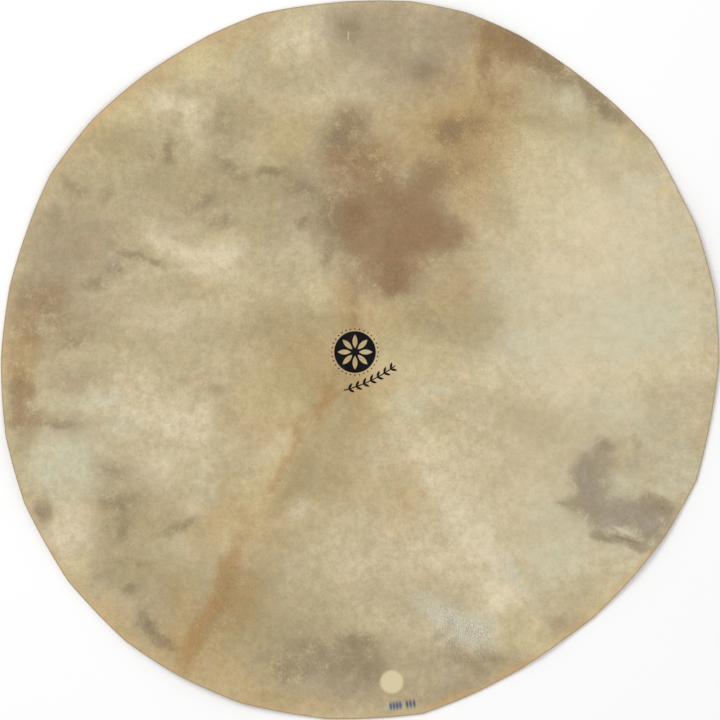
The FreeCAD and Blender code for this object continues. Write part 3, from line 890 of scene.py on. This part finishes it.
# %% The seal: a disc of ink with eight petals left clear
mark_low, mark_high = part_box("mark_roundel")
mark_middle = (mark_low + mark_high) / 2
MARK_PLACE = (mark_middle.x, mark_middle.y, THICKNESS)
RIM_POINTS = 96
seal = {
    "Place": MARK_PLACE, "Radius": (mark_high.x - mark_low.x) / 2, "Petals": 8,
    "Petal start": 3.0 * MM, "Petal end": 13.6 * MM, "Petal half width": 1.95 * MM,
    "Depth": INK_THICKNESS, "Material": ink,
}
tree, given = new_tree("seal", seal)
petal = leaf_curve(tree, given["Petal start"], given["Petal end"], given["Petal half width"])
spots = put(tree, "GeometryNodePoints", {"Count": given["Petals"]}).outputs[0]
step = calc(tree, "DIVIDE", math.tau, given["Petals"])
turn = times(tree, put(tree, "GeometryNodeInputIndex", {}).outputs[0], step)
facing = put(tree, "ShaderNodeCombineXYZ", {"Z": turn}).outputs[0]
petals = put(tree, "GeometryNodeInstanceOnPoints", {"Points": spots, "Instance": petal, "Rotation": facing})
rim = put(tree, "GeometryNodeCurvePrimitiveCircle", {"Resolution": RIM_POINTS, "Radius": given["Radius"]})
curves = put(tree, "GeometryNodeJoinGeometry", {0: rim.outputs[0]})
petal_curves = put(tree, "GeometryNodeRealizeInstances", {0: petals.outputs[0]}).outputs[0]
tree.links.new(petal_curves, curves.inputs[0])
face = put(tree, "GeometryNodeFillCurve", {0: curves.outputs[0]}).outputs[0]
solid = thicken(tree, face, given["Depth"])
placed = put(tree, "GeometryNodeTransform", {0: solid, "Translation": given["Place"]}).outputs[0]
roundel = run_tree("ink_seal", tree, placed, seal)

# %% The ring of dots round it
DOT_POINTS = 14  # a dot is a millimetre across, so few points are enough
dots = {
    "Place": MARK_PLACE, "Count": 32, "Ring radius": 18.0 * MM, "Dot radius": 0.55 * MM,
    "Depth": INK_THICKNESS, "Material": ink,
}
tree, given = new_tree("dots", dots)
ring_points = put(tree, "GeometryNodeMeshCircle", {
    "Vertices": given["Count"], "Radius": given["Ring radius"],
})
dot_curve = put(tree, "GeometryNodeCurvePrimitiveCircle", {
    "Resolution": DOT_POINTS, "Radius": given["Dot radius"],
})
dot_face = put(tree, "GeometryNodeFillCurve", {0: dot_curve.outputs[0]}).outputs[0]
dot = thicken(tree, dot_face, given["Depth"])
copies = put(tree, "GeometryNodeInstanceOnPoints", {"Points": ring_points.outputs[0], "Instance": dot})
placed = put(tree, "GeometryNodeTransform", {0: copies.outputs[0], "Translation": given["Place"]})
dot_ring = run_tree("ink_dots", tree, placed.outputs[0], dots)

# %% The sprig: a bowed stem, and leaves in pairs along it
SPRIG_START, SPRIG_END, SPRIG_BOW = (-12.6, -23.6), (27.4, -4.4), 2.2
span = Vector(SPRIG_END) - Vector(SPRIG_START)
sideways = Vector((span.y, -span.x)).normalized()
bend = (Vector(SPRIG_START) + Vector(SPRIG_END)) / 2 + sideways * SPRIG_BOW
sprig = {
    "Start": (SPRIG_START[0] * MM, SPRIG_START[1] * MM, THICKNESS),
    "Bend": (bend.x * MM, bend.y * MM, THICKNESS),
    "End": (SPRIG_END[0] * MM, SPRIG_END[1] * MM, THICKNESS),
    "Stem width": 0.9 * MM, "Pairs": 7, "Leaf length": 5.6 * MM, "Leaf half width": 0.95 * MM,
    "Leaf angle": math.radians(42), "Depth": INK_THICKNESS, "Material": ink,
}
tree, given = new_tree("sprig", sprig)
stem = put(tree, "GeometryNodeCurveArc", {
    "Resolution": 32, "Start": given["Start"], "Middle": given["Bend"], "End": given["End"],
}, mode="POINTS").outputs[0]
across = put(tree, "GeometryNodeCurvePrimitiveLine", {
    end: put(tree, "ShaderNodeCombineXYZ", {
        "X": times(tree, given["Stem width"], half)}).outputs[0]
    for end, half in (("Start", -0.5), ("End", 0.5))
}).outputs[0]
upright = put(tree, "GeometryNodeSetCurveNormal", {"Curve": stem}).outputs[0]
ribbon = put(tree, "GeometryNodeCurveToMesh", {"Curve": upright, "Profile Curve": across}).outputs[0]
index = put(tree, "GeometryNodeInputIndex", {}).outputs[0]
pair = calc(tree, "FLOOR", calc(tree, "DIVIDE", index, 2.0))
side = minus(tree, times(tree, calc(tree, "MODULO", index, 2.0), 2.0), 1.0)
share = calc(tree, "DIVIDE", plus(tree, pair, 0.6), plus(tree, given["Pairs"], 0.4))
sample = put(tree, "GeometryNodeSampleCurve", {"Curves": stem, "Factor": share}, mode="FACTOR")
tangent = put(tree, "ShaderNodeSeparateXYZ", {0: sample.outputs["Tangent"]}).outputs
heading = calc(tree, "ARCTAN2", tangent[1], tangent[0])
turn = plus(tree, heading, times(tree, side, given["Leaf angle"]))
facing = put(tree, "ShaderNodeCombineXYZ", {"Z": turn}).outputs[0]
leaf_count = times(tree, given["Pairs"], 2.0)
roots = put(tree, "GeometryNodePoints", {
    "Count": leaf_count, "Position": sample.outputs["Position"],
}).outputs[0]
leaf_face = put(tree, "GeometryNodeFillCurve", {
    0: leaf_curve(tree, 0.0, given["Leaf length"], given["Leaf half width"])}).outputs[0]
leaf = thicken(tree, leaf_face, given["Depth"])
leaves = put(tree, "GeometryNodeInstanceOnPoints", {"Points": roots, "Instance": leaf, "Rotation": facing})
everything = put(tree, "GeometryNodeJoinGeometry", {0: thicken(tree, ribbon, given["Depth"])})
tree.links.new(leaves.outputs[0], everything.inputs[0])
ink_sprig = run_tree("ink_sprig", tree, everything.outputs[0], sprig)

# %% The three parts of the mark ride on the skin
for piece, node in ((roundel, "mark_roundel"), (dot_ring, "mark_dots"), (ink_sprig, "mark_sprig")):
    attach(piece, BODY)
    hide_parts(node)

# %% [markdown]
# ## Under the skin: a paper label and an ink stamp
#
# Both are on the flesh side near the lower edge. The CAD model's label already has the right
# shape, so it stays, and only its finish is made here: soft paper with pressed fibres. The stamp
# is a row of short bars, standing in for a date or a number, and follows the skin's underside.

# %% The label's paper
paper, tree, place = new_material("label_paper")
pulp = noise(tree, place, 2.4 * MM, 6.0, 0.7)
hairs = streaks(tree, place, 2.2 * MM, 0.12 * MM, 20, 2.0)
colour = tint(tree, fade(tree, pulp, 0.35, 0.65), linear(236, 230, 212), linear(226, 218, 196))
colour = tint(tree, fade(tree, hairs, 0.66, 0.74, 0.0, 0.5), colour, linear(206, 192, 160))
finish_material(tree, colour, fade(tree, pulp, 0.3, 0.7, 0.8, 0.92), pulp, 0.02 * MM,
                Specular_IOR_Level=0.25)
for label_slot in bpy.data.objects["paper_label"].material_slots:
    label_slot.material = paper

# %% The stamp's bars, laid against the underside
BAR_WIDTH, BAR_HEIGHT = 1.5, 6.8  # mm
STAMP_FILM = 0.04 * MM
STAMP_SINK = 0.01 * MM  # the bars' tops are this far inside the skin
stamp_shapes = bmesh.new()
for along in STAMP_BARS:
    sized = Matrix.Translation((along, 0, -0.5)) @ Matrix.Diagonal((BAR_WIDTH, BAR_HEIGHT, 1, 1))
    bmesh.ops.create_cube(stamp_shapes, size=1.0, matrix=sized)
bmesh.ops.subdivide_edges(stamp_shapes, edges=stamp_shapes.edges, cuts=3, use_grid_fill=True)
turn = math.radians(STAMP_TILT)
for vert in stamp_shapes.verts:
    u, v = vert.co.x * MM, vert.co.y * MM
    x = stamp_middle.x + u * math.cos(turn) - v * math.sin(turn)
    y = stamp_middle.y + u * math.sin(turn) + v * math.cos(turn)
    vert.co = (x, y, float(swell_height(x, y)) + STAMP_SINK + vert.co.z * STAMP_FILM)
bmesh.ops.recalc_face_normals(stamp_shapes, faces=stamp_shapes.faces)
stamp_mesh = bpy.data.meshes.new("stamp_bars")
stamp_shapes.to_mesh(stamp_mesh)
stamp_shapes.free()
stamp_ink, tree, place = new_material("stamp_ink")
blot = noise(tree, place, 1.1 * MM, 5.0, 0.7)
split_x = put(tree, "ShaderNodeSeparateXYZ", {0: place}).outputs[0]
blue_end = stamp_middle.x + 0.7 * MM
gone_grey = fade(tree, split_x, blue_end - MM, blue_end + MM)
colour = tint(tree, gone_grey, linear(34, 44, 84), linear(40, 38, 36))
colour = tint(tree, fade(tree, blot, 0.5, 0.72, 0.0, 0.6), colour, linear(128, 118, 104))
finish_material(tree, colour, fade(tree, blot, 0.3, 0.7, 0.6, 0.8), blot, 0.02 * MM,
                Specular_IOR_Level=0.1)
stamp_mesh.materials.append(stamp_ink)
stamp = add_piece("stamp_bars", stamp_mesh)
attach(stamp, BODY)
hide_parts("ink_stamp")

# %% [markdown]

# %% [markdown]
# ## Floor, light and the end
#
# The floor is nearly white. Most of the light comes evenly from all round, so that the colours are
# the hide's own. One large softbox from the upper left gives the waves their shade, and a small one
# from below makes the polished patch shine.

# %% The floor
floor_mesh = bpy.data.meshes.new("studio_floor")
FLOOR_HALF = 4.0
floor_corners = [(-FLOOR_HALF, -FLOOR_HALF, 0), (FLOOR_HALF, -FLOOR_HALF, 0),
                 (FLOOR_HALF, FLOOR_HALF, 0), (-FLOOR_HALF, FLOOR_HALF, 0)]
floor_mesh.from_pydata(floor_corners, [], [(0, 1, 2, 3)])
floor = add_piece("studio_floor", floor_mesh)
floor_finish = bpy.data.materials.new("studio_floor")
floor_finish.use_nodes = True
floor_shader = floor_finish.node_tree.nodes["Principled BSDF"].inputs
floor_shader["Base Color"].default_value = (0.97, 0.97, 0.97, 1)
floor_shader["Roughness"].default_value = 0.9
floor_mesh.materials.append(floor_finish)

# %% The light from all round
WORLD_STRENGTH = 0.62
world = bpy.data.worlds.new("studio")
world.use_nodes = True
sky = world.node_tree.nodes["Background"].inputs
sky["Color"].default_value = (1, 1, 1, 1)
sky["Strength"].default_value = WORLD_STRENGTH
bpy.context.scene.world = world
bpy.context.scene.view_settings.view_transform = "Standard"


# %% The softboxes
def softbox(name, place, size, watts):
    """A square soft light, aimed at the skin's middle."""
    light = bpy.data.lights.new(name, "AREA")
    light.size = size
    light.energy = watts
    lamp = bpy.data.objects.new(name, light)
    lamp.location = place
    lamp.rotation_euler = (-lamp.location).to_track_quat("-Z", "Y").to_euler()
    bpy.context.scene.collection.objects.link(lamp)


softbox("main_softbox", (-1.3, 1.5, 2.6), 1.6, 44)
softbox("sheen_softbox", (0.35, -0.75, 2.2), 0.5, 6)
